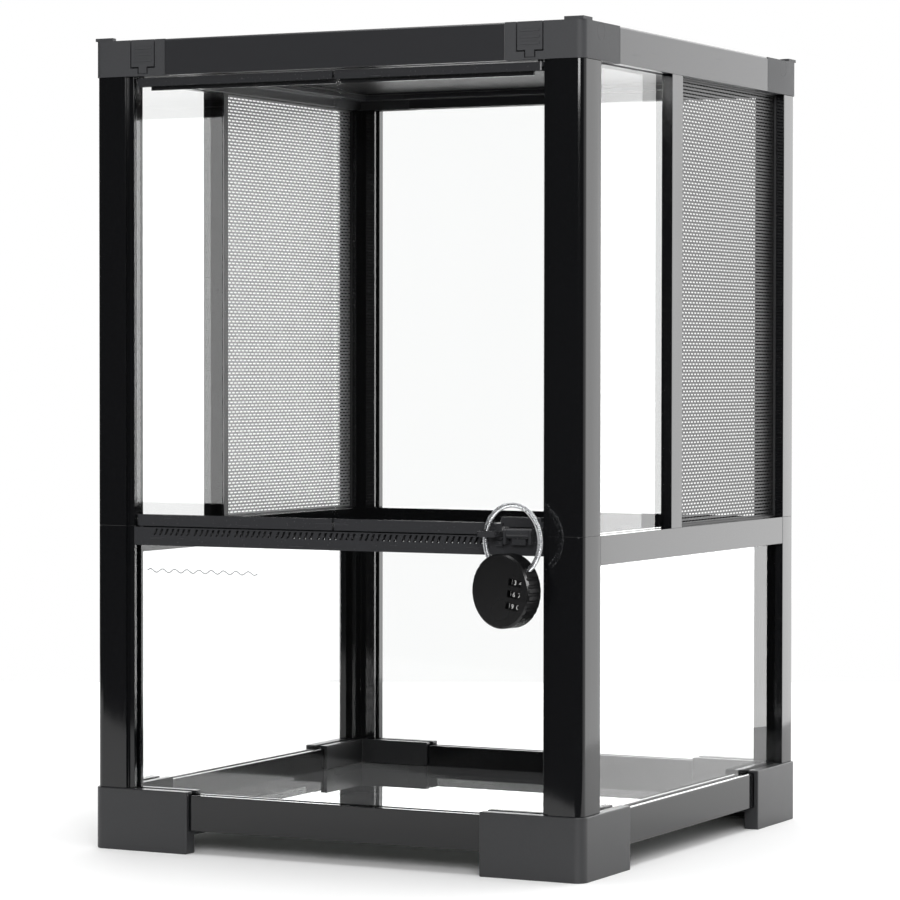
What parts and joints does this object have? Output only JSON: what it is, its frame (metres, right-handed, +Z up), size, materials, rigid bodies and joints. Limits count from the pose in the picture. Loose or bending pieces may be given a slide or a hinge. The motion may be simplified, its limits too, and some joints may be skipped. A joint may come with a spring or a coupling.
{
  "type": "reptile terrarium",
  "caption": "Tall glass reptile terrarium with corner posts, two hinged front doors, a vent bar, side screens, a lift-off mesh lid and a padlock.",
  "frame": {"origin": "on the floor, in the middle of the four feet", "axes": "+Z up, -Y the front with the doors, +X to the right seen from the front"},
  "size_m": [0.3006, 0.3182, 0.45],
  "materials": {
    "foot_plastic": "fine matte texture",
    "panel_glass": "clear float glass, ground edges",
    "corner_plastic": "fine matte texture",
    "mesh_metal": "woven wire",
    "frame_metal": "satin black",
    "post_plastic": "gloss black",
    "dial_plastic": "black with pale numbers",
    "lock_plastic": "satin black",
    "cable_steel": "twisted wire under clear sleeve",
    "door_plastic": "gloss black",
    "rail_plastic": "gloss black"
  },
  "bodies": {
    "frame": {"foot_front_left": "foot_plastic", "foot_front_right": "foot_plastic", "foot_rear_left": "foot_plastic", "foot_rear_right": "foot_plastic", "base_rail_front": "rail_plastic", "base_rail_rear": "rail_plastic", "base_rail_left": "rail_plastic", "base_rail_right": "rail_plastic", "base_glass": "panel_glass", "lower_post_front_left": "post_plastic", "lower_post_front_right": "post_plastic", "lower_post_rear_left": "post_plastic", "lower_post_rear_right": "post_plastic", "upper_post_front_left": "post_plastic", "upper_post_front_right": "post_plastic", "upper_post_rear_left": "post_plastic", "upper_post_rear_right": "post_plastic", "lower_glass_front": "panel_glass", "lower_glass_rear": "panel_glass", "lower_glass_left": "panel_glass", "lower_glass_right": "panel_glass", "vent_bar": "door_plastic", "mid_rail_rear": "rail_plastic", "mid_rail_left": "rail_plastic", "mid_rail_right": "rail_plastic", "upper_glass_rear": "panel_glass", "upper_glass_left": "panel_glass", "upper_glass_right": "panel_glass", "screen_bar_left": "rail_plastic", "screen_bar_right": "rail_plastic", "screen_frame_left": "frame_metal", "screen_frame_right": "frame_metal", "screen_mesh_left": "mesh_metal", "screen_mesh_right": "mesh_metal", "top_corner_front_left": "corner_plastic", "top_corner_front_right": "corner_plastic", "top_corner_rear_left": "corner_plastic", "top_corner_rear_right": "corner_plastic", "top_rail_front": "rail_plastic", "top_rail_rear": "rail_plastic", "top_rail_left": "rail_plastic", "top_rail_right": "rail_plastic", "corner_plugs": "corner_plastic"},
    "left_door": {"door_glass_left": "panel_glass", "door_top_strip_left": "door_plastic", "door_bottom_strip_left": "door_plastic"},
    "right_door": {"door_glass_right": "panel_glass", "door_top_strip_right": "door_plastic", "door_bottom_strip_right": "door_plastic"},
    "lid": {"lid_frame": "frame_metal", "lid_mesh": "mesh_metal"},
    "left_tab": {"lid_tab_left": "corner_plastic"},
    "right_tab": {"lid_tab_right": "corner_plastic"},
    "latch": {"latch_knob": "door_plastic"},
    "padlock": {"lock_case": "lock_plastic", "lock_back": "lock_plastic", "lock_cable": "cable_steel"},
    "dial_1": {"lock_dial_1": "dial_plastic"},
    "dial_2": {"lock_dial_2": "dial_plastic"},
    "dial_3": {"lock_dial_3": "dial_plastic"}
  },
  "joints": [
    {"name": "left_door_hinge", "type": "hinge", "parent": "frame", "child": "left_door", "pos_m": [-0.1222, -0.1445, 0.1796], "axis": [0, 0, -1], "range_deg": [0, 95]},
    {"name": "right_door_hinge", "type": "hinge", "parent": "frame", "child": "right_door", "pos_m": [0.1222, -0.1445, 0.1796], "axis": [0, 0, 1], "range_deg": [0, 95]},
    {"name": "lid_lift", "type": "slide", "parent": "frame", "child": "lid", "axis": [0, 0, 1], "range_m": [0, 0.06]},
    {"name": "left_tab_flex", "type": "hinge", "parent": "frame", "child": "left_tab", "pos_m": [-0.1183, -0.14895, 0.43035], "axis": [-1, 0, 0], "range_deg": [0, 4], "stiffness_Nm_per_rad": 0.05},
    {"name": "right_tab_flex", "type": "hinge", "parent": "frame", "child": "right_tab", "pos_m": [0.1183, -0.14895, 0.43035], "axis": [-1, 0, 0], "range_deg": [0, 4], "stiffness_Nm_per_rad": 0.05},
    {"name": "latch_turn", "type": "hinge", "parent": "frame", "child": "latch", "pos_m": [0.1129, -0.15, 0.1813], "axis": [-1, 0, 0], "range_deg": [0, 180]},
    {"name": "padlock_swing", "type": "hinge", "parent": "right_door", "child": "padlock", "pos_m": [0.0953, -0.1541, 0.18105], "axis": [0, 0, 1], "range_deg": [-96, 1]},
    {"name": "dial_1_turn", "type": "hinge", "parent": "padlock", "child": "dial_1", "pos_m": [0.119, -0.16011, 0.15642], "axis": [0.1518, -0.0378, 0.9877], "continuous": true},
    {"name": "dial_2_turn", "type": "hinge", "parent": "padlock", "child": "dial_2", "pos_m": [0.11804, -0.15987, 0.1502], "axis": [0.1518, -0.0378, 0.9877], "continuous": true},
    {"name": "dial_3_turn", "type": "hinge", "parent": "padlock", "child": "dial_3", "pos_m": [0.11709, -0.15963, 0.14398], "axis": [0.1518, -0.0378, 0.9877], "continuous": true}
  ],
  "couplings": [
    {"joint": "padlock_swing", "follows": "right_door_hinge", "ratio": -1}
  ]
}
